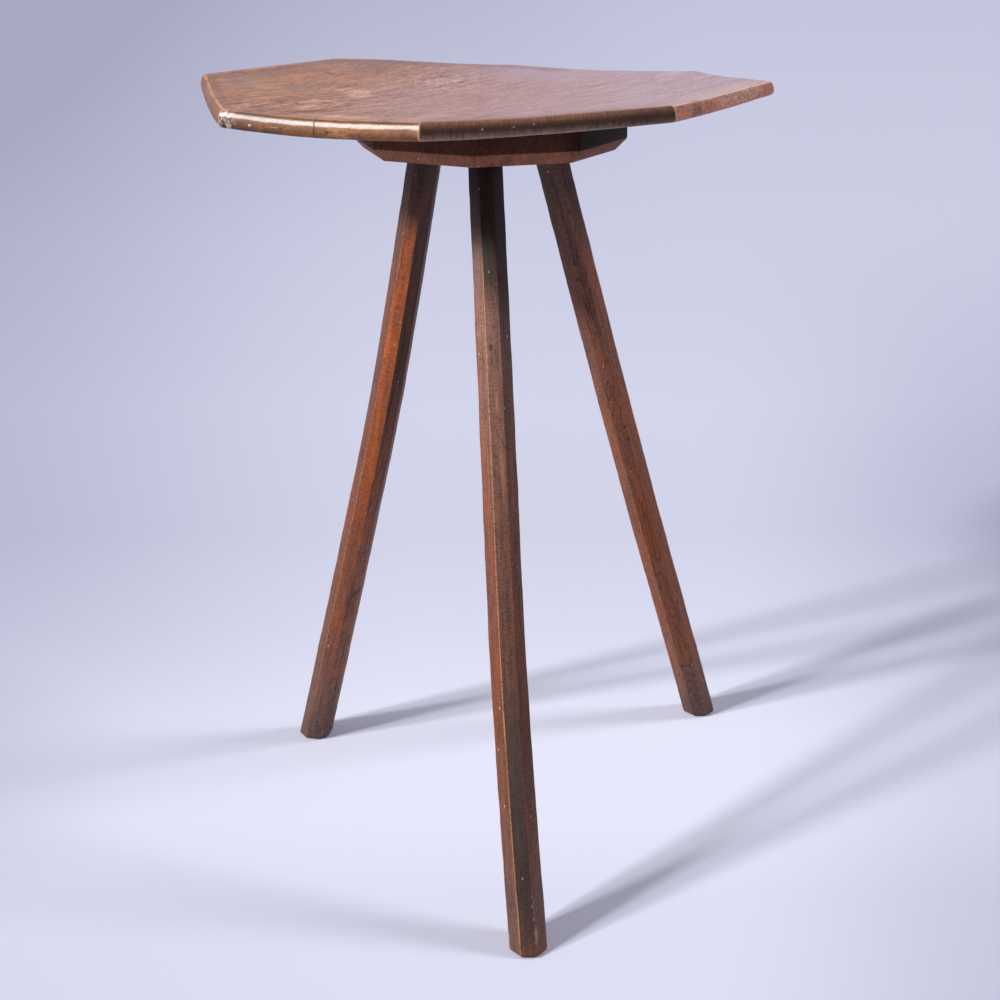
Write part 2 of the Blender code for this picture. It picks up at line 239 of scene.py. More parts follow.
# Legs: the hewn shaft runs from above the foot's rim up to the shoulder. Long spans of an arris
# are cut first, and then every span
ARRIS_START = 0.0042
FOOT_BAND = 0.006
SHOULDER_BAND = 0.004
SHOULDER_MARGIN = 0.0006
LONG_SPAN = 0.04
SPAN_CUTS = 2
LEG_CUTS = 9
HEWING_WAVE = 0.03
LEG_CREASE = 24

# Legs: the least share across a facet, half the width of a facet, and the slant and the number of
# the growth rings' figure
FACET_MARGIN = 0.001
FACET_HALF = 0.49
FIGURE_SLANT = 12.0
GROWTH_RINGS = 13.0

# Stain of each leg's facets from the foot up, in percent: share of the height, strength, warmth.
# The dark top stops, under the board, are partly dirt and partly painted shade.
# The facets without a number of their own come first
FACET_STAIN_AND_SHADE = {
    "front": {
        "other": ((0, 12, 40), (30, 15, 60), (80, 16, 50), (95, 5, 30)),
        0: ((0, 13, 45), (6, 12, 40), (30, 15, 82), (55, 16.5, 66), (80, 22.5, 36), (89.5, 16, 20),
            (92.5, 4.5, 10), (100, 2.7, 10)),
        1: ((0, 12, 75), (3, 6, 30), (8, 4.5, 16), (30, 7.5, 22), (42, 15.5, 55), (55, 17, 42),
            (81, 26.2, 28), (86.5, 8, 15), (92, 3.4, 15), (100, 2.7, 20)),
        2: ((0, 15, 55), (6, 13.7, 34), (30, 10, 57), (55, 16, 64), (80, 12.8, 28), (90, 3.6, 20),
            (100, 2.7, 20)),
    },
    "left": {
        "other": ((0, 9, 15), (15, 17, 60), (76, 16, 60), (97, 5, 30)),
        0: ((0, 8, 15), (12, 12, 50), (42, 17, 75), (76, 16, 60), (93, 8, 30), (100, 5, 30)),
        1: ((0, 9, 10), (5, 10.7, 15), (15, 16.5, 65), (42, 22.7, 90), (76, 36.5, 100), (86, 30, 95),
            (93, 10, 50), (100, 6, 30)),
        2: ((0, 10, 15), (15, 24, 55), (42, 26, 70), (60, 13, 55), (76, 10, 48), (92, 10, 35),
            (100, 7, 30)),
    },
    "right": {
        "other": ((0, 9, 15), (15, 17, 60), (75, 17, 60), (97, 6, 30)),
        0: ((0, 8, 15), (12, 17.5, 65), (38, 21.5, 82), (60, 20.5, 66), (75, 18, 60), (100, 8, 30)),
        1: ((0, 7.5, 12), (5, 8.4, 20), (14, 16.4, 80), (38, 16.7, 86), (62, 20.5, 75), (75, 24.5, 70),
            (90, 22, 45), (100, 11, 30)),
        2: ((0, 9, 15), (12, 20, 64), (38, 24, 76), (75, 26.8, 70), (92, 13, 45), (100, 6, 30)),
    },
}

# Slanting growth figure: facet, lowest, highest, strength
FACET_FIGURE = {
    "front": ((1, 0.2, 0.44, 0.35),),
    "left": ((2, 0.05, 0.45, 0.5),),
    "right": ((1, 0.04, 0.6, 0.8), (0, 0.1, 0.4, 0.3)),
}

# Marks on the legs: place as facet number and height, half-sizes, lean, colour, strength. The bands near a
# height of 0.6, under the board, are partly dirt and partly painted shade
LEG_MARKS = {
    "front": (
        ((1.72, 0.405), (0.2, 0.03), 0.0, "leg_worn", 0.3),
        ((1.34, 0.507), (0.11, 0.004), 0.0, "leg_dark", 0.75),
        ((1.36, 0.496), (0.1, 0.005), 0.0, "leg_dark", 0.75),
        ((1.6, 0.463), (0.05, 0.012), 6.0, "leg_worn", 0.5),
        ((1.45, 0.35), (0.1, 0.03), 2.0, "leg_dark", 0.35),
        ((1.4, 0.58), (0.6, 0.034), 0.0, "leg_olive", 0.65),
        ((1.5, 0.15), (0.55, 0.12), 0.0, "leg_olive", 0.3),
        ((2.15, 0.02), (0.2, 0.01), 0.0, "leg_pale", 0.35)),
    "left": (
        ((2.3, 0.44), (0.3, 0.1), 1.5, "leg_dark", 0.35),
        ((1.8, 0.61), (0.4, 0.03), 0.0, "leg_dark", 0.3),
        ((2.15, 0.18), (0.3, 0.04), 2.0, "leg_dark", 0.4),
        ((1.9, 0.19), (0.12, 0.04), 1.0, "leg_dark", 0.25)),
    "right": (
        ((1.46, 0.545), (0.3, 0.09), -4.0, "leg_dark", 0.3),
        ((1.66, 0.47), (0.16, 0.06), -5.0, "leg_dark", 0.22),
        ((1.2, 0.6), (0.2, 0.045), -3.0, "leg_dark", 0.25),
        ((1.5, 0.28), (0.1, 0.04), -6.0, "leg_dark", 0.3)),
}

# Arrises worn to bare wood, and arrises with pale dashes: number, lowest, highest, strength or spacing
WORN_ARRISES = {
    "front": ((1.0, 0.2, 0.56, 0.75), (1.0, 0.03, 0.2, 0.5), (2.0, 0.24, 0.46, 0.15),
              (1.0, -0.02, 0.03, 0.5)),
    "left": ((1.0, 0.1, 0.6, 0.15),),
    "right": ((1.0, 0.04, 0.3, 0.12),),
}
DASHED_ARRISES = {
    "front": ((2.0, 0.02, 0.05, 0.004),),
    "left": ((1.0, 0.08, 0.57, 0.003),),
    "right": ((2.0, 0.02, 0.08, 0.004),),
}


def metres(*lengths):
    """Turn millimetres into metres."""
    return tuple(length / 1000 for length in lengths)


def switch(mode):
    """Switch between object mode and edit mode."""
    bpy.ops.object.mode_set(mode=mode)


def deselect_all():
    """Leave edit mode and deselect every object."""
    if bpy.context.object and bpy.context.object.mode != "OBJECT":
        switch("OBJECT")
    bpy.ops.object.select_all(action="DESELECT")


def make_active(piece):
    """Select one object alone."""
    deselect_all()
    piece.select_set(True)
    bpy.context.view_layer.objects.active = piece


def copy_of_node(node, name):
    """Copy a node's mesh into a new piece and merge its loose triangles into faces."""
    piece = bpy.data.objects.new(name, frame["nodes"][node].data.copy())
    bpy.context.scene.collection.objects.link(piece)
    piece.data.materials.clear()
    make_active(piece)
    bpy.ops.mesh.customdata_custom_splitnormals_clear()
    switch("EDIT")
    bpy.ops.mesh.select_all(action="SELECT")
    bpy.ops.mesh.remove_doubles(threshold=SAME_PLACE)
    bpy.ops.mesh.tris_convert_to_quads(face_threshold=radians(FLAT_ANGLE), shape_threshold=pi)
    switch("OBJECT")
    return piece


def select_edges(piece, wanted):
    """Enter edit mode with only the edges selected whose two end vertices pass a test."""
    make_active(piece)
    switch("EDIT")
    bpy.ops.mesh.select_mode(type="EDGE")
    bpy.ops.mesh.select_all(action="DESELECT")
    switch("OBJECT")
    vertices = piece.data.vertices
    for edge in piece.data.edges:
        edge.select = wanted(*(vertices[index] for index in edge.vertices))
    switch("EDIT")


def apply_modifier(piece, modifier):
    """Apply one modifier of a piece."""
    make_active(piece)
    bpy.ops.object.modifier_apply(modifier=modifier.name)


def hand_worn(piece, name, wave, depth, group, inward=0.5):
    """Move a piece's surface unevenly, as a hand tool leaves it; with inward at 1, only inwards."""
    pattern = bpy.data.textures.new(name, "CLOUDS")
    pattern.noise_scale = wave
    pattern.noise_depth = 2
    step = piece.modifiers.new(name, "DISPLACE")
    step.texture = pattern
    step.texture_coords = "LOCAL"
    step.strength = depth
    step.mid_level = inward
    step.vertex_group = group
    apply_modifier(piece, step)


def smooth_by_angle(piece, degrees):
    """Shade a piece smooth, but for edges sharper than an angle."""
    make_active(piece)
    bpy.ops.object.shade_smooth_by_angle(angle=radians(degrees))


def maths(operation, swapped=False):
    """Return a method that joins a signal and another value through one Math node."""
    def method(self, other):
        return self.tree.math(operation, *((other, self) if swapped else (self, other)))
    return method


class Signal:
    """A node's output that takes part in shader maths written as an expression."""

    def __init__(self, tree, socket):
        self.tree = tree
        self.socket = socket

    __add__, __radd__ = maths("ADD"), maths("ADD", True)
    __sub__, __rsub__ = maths("SUBTRACT"), maths("SUBTRACT", True)
    __mul__, __rmul__ = maths("MULTIPLY"), maths("MULTIPLY", True)
    __truediv__, __rtruediv__ = maths("DIVIDE"), maths("DIVIDE", True)
    __mod__ = maths("FLOORED_MODULO")
    larger = maths("MAXIMUM")

    def __abs__(self):
        return self.tree.math("ABSOLUTE", self, 0.0)

    def rise(self, low, high, kind="SMOOTHSTEP"):
        """Go from 0 to 1 as the value goes from low to high, even if high is lower."""
        inputs = {"Value": self, "From Min": low, "From Max": high}
        return self.tree.node("ShaderNodeMapRange", {"interpolation_type": kind, "clamp": True}, inputs)

    def hump(self, middle, half_width, softness):
        """Be 1 near a middle value and 0 away from it."""
        return abs(self - middle).rise(half_width + softness, half_width)

    def between(self, low, high, softness):
        """Be 1 from a low value to a high one and 0 outside."""
        return self.hump((low + high) / 2, (high - low) / 2, softness)

    def on_facet(self, number, softness=0.03):
        """Be 1 on one facet of a leg, where the value counts the facets."""
        return self.hump(number + 0.5, FACET_HALF, softness)


class Tree:
    """A node tree, with a short way to add each kind of node."""

    def __init__(self, node_tree):
        self.node_tree = node_tree

    def node(self, kind, settings=None, inputs=None, output=0):
        """Add a node: its type, then its settings, then its sockets' values or links."""
        made = self.node_tree.nodes.new(kind)
        for name, value in (settings or {}).items():
            setattr(made, name, value)
        for name, value in (inputs or {}).items():
            self.feed(made.inputs[name], value)
        return Signal(self, made.outputs[output])

    def feed(self, socket, value):
        """Link a signal to a socket, or set the socket's value."""
        if isinstance(value, Signal):
            self.node_tree.links.new(value.socket, socket)
        elif hasattr(socket.default_value, "__len__") and len(value) < len(socket.default_value):
            socket.default_value = (*value, 1.0)
        else:
            socket.default_value = value

    def math(self, operation, first, second):
        """Add one Math node."""
        return self.node("ShaderNodeMath", {"operation": operation}, {0: first, 1: second})

    def mix(self, share, first, second):
        """Mix two colours."""
        inputs = {MIX_SHARE: share, MIX_FIRST: first, MIX_SECOND: second}
        return self.node("ShaderNodeMix", {"data_type": "RGBA"}, inputs, MIX_RESULT)

    def layers(self, color, *further):
        """Mix further colours over a colour: each is given as its share and itself."""
        for share, shade in further:
            color = self.mix(share, color, shade)
        return color

    def vector(self, operation, first, second):
        """Add one Vector Math node of two vectors."""
        return self.node("ShaderNodeVectorMath", {"operation": operation}, {0: first, 1: second})

    def tint(self, color, strength):
        """Multiply a colour or a vector by a number."""
        return self.node("ShaderNodeVectorMath", {"operation": "SCALE"}, {0: color, "Scale": strength})

    def parts(self, vector):
        """Split a vector into three numbers."""
        split = self.node("ShaderNodeSeparateXYZ", None, {0: vector}).socket.node
        return [Signal(self, output) for output in split.outputs]

    def joined(self, x, y, z=0.0):
        """Join three numbers into a vector."""
        return self.node("ShaderNodeCombineXYZ", None, {0: x, 1: y, 2: z})

    def oval(self, place, soft):
        """Be 1 about the place's origin, and fall to 0 at a distance of 1."""
        away = self.node("ShaderNodeVectorMath", {"operation": "LENGTH"}, {0: place}, "Value")
        return away.rise(1.0, 1.0 - soft)


class Finish(Tree):
    """One material: a Principled shader, and the nodes that feed it."""

    def __init__(self, name):
        self.material = bpy.data.materials.new(name)
        self.material.use_nodes = True
        super().__init__(self.material.node_tree)
        self.shader = self.node_tree.nodes["Principled BSDF"]
        self.place = self.node("ShaderNodeTexCoord", output="Object")

    def set(self, **values):
        """Feed the shader's own sockets, named with _ for a space."""
        for name, value in values.items():
            self.feed(self.shader.inputs[name.replace("_", " ")], value)

    def run(self):
        """Return the piece's own two numbers: the place across or around it, and along it."""
        return self.parts(self.node("ShaderNodeUVMap", {"uv_map": UV_NAME}))[:2]

    def laid(self, sizes, origin=(0.0, 0.0, 0.0), turn=(0.0, 0.0, 0.0), place=None):
        """Return coordinates that start at an origin, are turned, and count in the sizes given."""
        inputs = {"Vector": place or self.place, "Location": origin, "Rotation": turn, "Scale": sizes}
        return self.node("ShaderNodeMapping", {"vector_type": "TEXTURE"}, inputs)

    def noise(self, place, detail=3.0, roughness=0.5, output=0):
        """Return an uneven pattern around 0.5, one unit of the place wide."""
        inputs = {"Vector": place, "Scale": 1.0, "Detail": detail, "Roughness": roughness}
        return self.node("ShaderNodeTexNoise", None, inputs, output)

    def shifted(self, place, amount, wave):
        """Shift a place unevenly by up to an amount, over a wave's length."""
        bend = self.noise(self.tint(place, 1 / wave), 2.0, output=1)
        moved = self.tint(self.vector("SUBTRACT", bend, (0.5, 0.5, 0.5)), amount)
        return self.vector("ADD", place, moved)

    def specks(self, place, share):
        """Return small scattered spots, on about a share of the cells of the place."""
        spot, tone = (
            self.node("ShaderNodeTexVoronoi", {"feature": "F1"}, {"Vector": place, "Scale": 1.0}, output)
            for output in ("Distance", "Color"))
        return spot.rise(SPECK_RIM, SPECK_CORE) * self.parts(tone)[0].rise(share, share * 0.9)

    def ramp(self, value, stops):
        """Return a number or a colour that follows a value through stops of (place, level)."""
        made = self.node_tree.nodes.new("ShaderNodeValToRGB")
        elements = made.color_ramp.elements
        while len(elements) < len(stops):
            elements.new(0.5)
        for element, (place, level) in zip(elements, stops):
            element.position = place
            element.color = (*level, 1.0) if isinstance(level, tuple) else (level, level, level, 1.0)
        self.feed(made.inputs[0], value)
        return Signal(self, made.outputs[0])

    def spot(self, at, sizes, turn=0.0, soft=1.0, place=None):
        """Be 1 about a point of the board, and fall to 0 at the rim of an oval of the half-sizes given."""
        local = self.laid((*sizes, 1.0), (*at, 0.0), (0.0, 0.0, radians(turn)), place)
        return self.oval(self.vector("MULTIPLY", local, (1.0, 1.0, 0.0)), soft)

    def bump(self, height, distance):
        """Raise the surface by a pattern, up to a distance."""
        self.set(Normal=self.node("ShaderNodeBump", None, {"Height": height, "Distance": distance}))


def hue(name, description, *default):
    """Return a colour that the panel shows."""
    return bpy.props.FloatVectorProperty(
        name=name, description=description, subtype="COLOR", default=default, min=0.0, max=1.0)


def length_setting(name, description, default):
    """Return a length that the panel shows."""
    return bpy.props.FloatProperty(name=name, description=description, unit="LENGTH", default=default)


class SideTableColours(bpy.types.PropertyGroup):
    """Colours that someone would change: each with the place it is the colour of."""

    board_brown: hue("Board brown", "Face at its left", 0.384, 0.169, 0.084)
    board_middle: hue("Board middle", "Face in its middle", 0.43, 0.235, 0.19)
    # Board pale is partly the wood's paler tone and partly a painted reflection of the backdrop
    board_pale: hue("Board pale", "Faded right side", 0.46, 0.315, 0.325)
    board_bright: hue("Board bright", "Light patches", 0.66, 0.385, 0.255)
    board_grey: hue("Board grey", "Grey-brown patches", 0.25, 0.15, 0.12)
    # This colour is a painted reflection of the backdrop near the back of the face
    board_sheen: hue("Board hazy", "Dulled patch at the back", 0.436, 0.337, 0.417)
    board_dark: hue("Board dark", "Dark figure", 0.1, 0.045, 0.025)
    underside: hue("Underside", "Board from below", 0.2, 0.1, 0.06)
    edge_brown: hue("Edge brown", "Far sides of the edge", 0.2, 0.08, 0.041)
    edge_amber: hue("Edge amber", "End-grain side of the edge", 0.175, 0.06, 0.014)
    edge_gold: hue("Edge gold", "Lightest patch of the end-grain side", 0.42, 0.2, 0.065)
    edge_tan: hue("Edge tan", "Left side of the edge", 0.275, 0.125, 0.068)
    edge_orange: hue("Edge orange", "Right front side of the edge", 0.5, 0.165, 0.072)
    edge_beige: hue("Edge beige", "Pale foot of the front side", 0.32, 0.195, 0.135)
    # This colour is also painted along each mitre joint as a highlight
    edge_wear_and_highlight: hue("Edge worn", "Worn lines of the edge", 0.66, 0.36, 0.2)
    edge_pale: hue("Edge pale", "Right front side's worn line", 0.72, 0.5, 0.4)
    edge_scuffed: hue("Edge scuffed", "Scuffs and scratches", 0.62, 0.5, 0.4)
    # This colour also paints the shade low on the front side of the edge
    edge_dark: hue("Edge dark", "Dark front side of the edge", 0.035, 0.015, 0.009)
    edge_black: hue("Edge black", "Cracks", 0.012, 0.006, 0.004)
    block_side: hue("Block side", "Sides of the block", 0.1, 0.038, 0.021)
    block_chamfer: hue("Block chamfer", "Worn chamfer of the block", 0.262, 0.1, 0.058)
    # This colour darkens the block's right side, most on its upright face
    block_black: hue("Block black", "Dirtiest side of the block", 0.01, 0.006, 0.005)
    leg_orange: hue("Leg orange", "Full hue of the legs where they are clean", 1.0, 0.238, 0.06)
    leg_grey: hue("Leg grey", "Full hue of the legs where they are dirty", 1.0, 0.6, 0.48)
    leg_worn: hue("Leg worn", "Worn arrises", 0.62, 0.26, 0.11)
    # High up, this colour is partly dirt and partly painted shade under the board
    leg_olive: hue("Leg olive", "Old dirt high up and low down", 0.05, 0.048, 0.036)
    leg_pale: hue("Leg pale", "Chips that show bare wood", 0.62, 0.42, 0.28)
    # This colour also paints shade high up under the board and a contact shadow along the foot's lowest rim
    leg_dark: hue("Leg dark", "Dark figure and dents", 0.03, 0.014, 0.009)
    floor: hue("Floor", "Floor near the table", 0.84, 0.855, 0.985)
    distance: hue("Distance", "Floor far away", 0.4, 0.405, 0.53)


class SideTableSizes(bpy.types.PropertyGroup):
    """Sizes of the wear on the table."""

    arris_bevel: length_setting("Arris bevel", "How far the legs' arrises are worn back", 0.0007)
    block_bevel: length_setting("Block bevel", "How far the block's edges are worn back", 0.0008)
    leg_wave: length_setting("Leg wave", "Unevenness of the hewn legs", 0.0009)
    board_wave: length_setting("Board wave", "Unevenness of the planed board", 0.0007)
    floor_size: length_setting("Floor size", "Side of the floor", 120.0)


def sizes():
    """Return the sizes in use."""
    return bpy.context.scene.side_table_sizes


def colours():
    """Return the colours in use."""
    return bpy.context.scene.side_table_colours


def points_of(mesh):
    """Return a mesh's points as an array."""
    return np.array([vertex.co for vertex in mesh.vertices])


def board_columns(points):
    """Return the board's centre, its points' angles and reaches, and its columns' angles and rim points."""
    level = np.abs(points[:, 2] - TOP_LEVEL) < SAME_PLACE
    ring = points[level & (np.abs(points[:, :2]).max(1) < FLAT_REACH), :2]
    terms = np.column_stack([2 * ring, np.ones(len(ring))])
    centre = np.linalg.lstsq(terms, (ring**2).sum(1), rcond=None)[0][:2]
    offset = points[:, :2] - centre
    angle = np.degrees(np.arctan2(offset[:, 1], offset[:, 0]))
    radius = np.hypot(offset[:, 0], offset[:, 1])
    columns = []
    for value in sorted(angle[radius > OUTER_REACH]):
        if not columns or value - columns[-1] > COLUMN_STEP:
            columns.append(value)
    profiles = []
    for value in columns:
        near = np.flatnonzero((np.abs(angle - value) < COLUMN_STEP / 10) & (radius > INNER_REACH))
        rim = near[radius[near] > radius[near].max() - RIM_REACH]
        profiles.append(rim[np.argsort(-points[rim, 2])].tolist())
    return centre, angle, radius, np.array(columns), profiles


def map_board(piece):
    """Map the board: edges counted round from the near corner, and the share of the way over the rim."""
    mesh = piece.data
    points = points_of(mesh)
    centre, angle, radius, columns, profiles = board_columns(points)
    reach = np.array([radius[rim].max() for rim in profiles])
    count = len(columns)
    per_edge = count // BOARD_SIDES
    corners = [i for i in range(count) if reach[i] > max(reach[i - 1], reach[(i + 1) % count])]
    first = min(corners, key=lambda i: abs(columns[i] - NEAR_CORNER_ANGLE))
    turned = np.append((np.roll(columns, -first) - columns[first]) % 360.0, 360.0)
    passed = (angle - columns[first] + SMALL_TURN) % 360.0 - SMALL_TURN
    around = np.interp(passed, turned, np.arange(count + 1) / per_edge)
    inner = np.interp(angle, columns, [radius[rim[0]] for rim in profiles], period=360.0)
    lip = np.interp(angle, columns, [radius[rim[-1]] for rim in profiles], period=360.0)
    upper = np.array([vertex.normal.z for vertex in mesh.vertices]) > 0
    over = np.where(upper, radius - inner, RIM_BAND + lip - radius) / RIM_BAND
    for rim in profiles:
        steps = np.linalg.norm(np.diff(points[rim], axis=0), axis=1)
        over[rim] = np.append(0.0, np.cumsum(steps)) / steps.sum()
    layer = mesh.uv_layers.new(name=UV_NAME)
    for face in mesh.polygons:
        ends = list(face.vertices)
        values = around[ends]
        if np.ptp(values) > BOARD_SIDES / 2:
            values[values < BOARD_SIDES / 2] += BOARD_SIDES
        for loop, place in zip(face.loop_indices, zip(values, over[ends])):
            layer.data[loop].uv = place
    on_rim = {index for rim in profiles for index in rim}
    at_corner = {index for i in corners for index in profiles[i]}
    return centre, on_rim, (at_corner, {rim[0] for rim in profiles}, {rim[-1] for rim in profiles})


def weigh(piece, name, indices):
    """Make a vertex group of some points."""
    group = piece.vertex_groups.new(name=name)
    group.add(list(indices), 1.0, "REPLACE")


class SIDETABLE_OT_board(bpy.types.Operator):
    """Make the worn board with its rounded, mitred edge"""

    bl_idname = "side_table.board"
    bl_label = "Board"

    def execute(self, context):
        piece = copy_of_node("top_board", "worn_board")
        centre, on_rim, kept_lines = map_board(piece)
        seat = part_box("under_block")[1].z + SEAT_MARGIN

        def stays_sharp(start, end):
            on_seat = max(start.co.z, end.co.z) < seat
            return on_seat or any(start.index in line and end.index in line for line in kept_lines)

        free = [v.index for v in piece.data.vertices if v.co.z > seat and v.index not in kept_lines[0]]
        weigh(piece, "free", free)
        weigh(piece, "rim", on_rim)
        select_edges(piece, stays_sharp)
        bpy.ops.transform.edge_crease(value=1.0)
        step = piece.modifiers.new("finer", "SUBSURF")
        step.levels = step.render_levels = BOARD_LEVELS
        step.uv_smooth = "NONE"
        apply_modifier(piece, step)
        hand_worn(piece, "planing", PLANE_WAVE, sizes().board_wave, "free")
        hand_worn(piece, "knocks", KNOCK_WAVE, sizes().board_wave * 0.5, "rim", 1.0)
        smooth_by_angle(piece, BOARD_CREASE)
        piece.data.materials.append(board_finish((*centre, TOP_LEVEL)))
        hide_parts("top_board")
        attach(piece, "root")
        return {"FINISHED"}


def board_face(finish, centre):
    """Return the face's colour, its relief and its dullness: swirling brown wood, paler to the right, partly
    by a painted reflection of the backdrop.
    """
    color, grain = colours(), radians(GRAIN_ANGLE)
    x, y = finish.parts(finish.place)[:2]
    bent = finish.shifted(finish.shifted(finish.place, 0.014, 0.1), 0.0018, 0.012)
    swell = (-sin(grain) * KNOT_SWELL, cos(grain) * KNOT_SWELL, 0.0)
    bent = finish.vector("ADD", bent, finish.tint(swell, finish.spot(KNOT, (0.065, 0.075))))

    def along(sizes, detail, roughness, turn=0.0):
        """Return a pattern drawn out along the grain."""
        return finish.noise(finish.laid(sizes, centre, (0, 0, grain + turn), bent), detail, roughness)

    figure = along((0.1, 0.015, 0.05), 4.0, 0.6)
    streaks = along((0.11, 0.006, 0.02), 4.0, 0.7)
    fine = along((0.016, 0.0009, 0.01), 2.0, 0.5)
    pores = along((0.008, 0.0009, 0.01), 1.0, 0.5).rise(0.64, 0.74)
    mottle = along((0.013, 0.0045, 0.006), 4.0, 0.65, -0.45)
    grit = along((0.014, 0.0028, 0.005), 3.0, 0.7, 0.35)
    cloud = finish.noise(finish.laid((0.05, 0.05, 0.05)), 3.0, 0.55)
    # Brown at the left, pinkish grey at the right: partly paler wood, partly a painted reflection of the
    # backdrop
    pale_share = (x + 0.094) * 0.92 - (y - 0.05).larger(0.0) * 0.3
    pale_share = pale_share + (cloud - 0.5) * 0.13 + (figure - 0.5) * 0.07
    skin = finish.layers(
        color.board_brown,
        (pale_share.rise(-0.05, 0.045), color.board_middle),
        (pale_share.rise(0.05, 0.25), color.board_pale))
    # Light and dark in the figure, strongest in two lively places
    lively = finish.spot((-0.165, -0.085), (0.065, 0.085), soft=0.5)
    lively = lively + finish.spot((-0.035, 0.113), (0.06, 0.09), soft=0.7) * 0.7
    contrast = 1.45 - pale_share.rise(-0.03, 0.16) * 0.65
    thin = (streaks - 0.5) * 1.2 + (fine - 0.5) * 0.9 + (mottle - 0.5) * 0.8 + (grit - 0.5) * 0.9
    light = (figure - 0.5) * 0.55 * contrast + thin * (contrast + lively * 1.3)
    skin = finish.vector("MULTIPLY", skin, finish.joined(light + 1, light * 1.35 + 1, light * 1.6 + 1))
    # Grey patches, dark pores, and a painted reflection of the backdrop near the back
    skin = finish.layers(
        skin,
        (cloud.rise(0.56, 0.7) * figure.rise(0.56, 0.44) * 0.3, color.board_grey),
        (pores * contrast * 0.25, color.board_dark),
        (finish.spot((0.06, 0.2), (0.15, 0.11), -20.0) * 0.55, color.board_sheen))
    # Patches and strokes with ragged rims
    bright = finish.tint(color.board_bright, light * 1.2 + 1)
    grey = finish.tint(color.board_grey, light * 0.7 + 1)
    ragged = finish.shifted(finish.place, 0.014, 0.012)
    torn = finish.shifted(finish.place, 0.003, 0.009)
    for spots, shade, soft in (
            (PALE_SPOTS, bright, 0.7), (GREY_SPOTS, grey, 0.7), (DARK_STROKES, color.board_dark, 0.6)):
        for right, back, *half_sizes, turn, strength in spots:
            place = torn if min(half_sizes) < THIN_MARK else ragged
            share = finish.spot(metres(right, back), metres(*half_sizes), turn, soft, place)
            skin = finish.mix(share * strength, skin, shade)
    relief = figure * 0.25 + streaks * 0.35 + fine * 0.25 - pores * 0.3 + mottle * 0.25
    return skin, relief, cloud


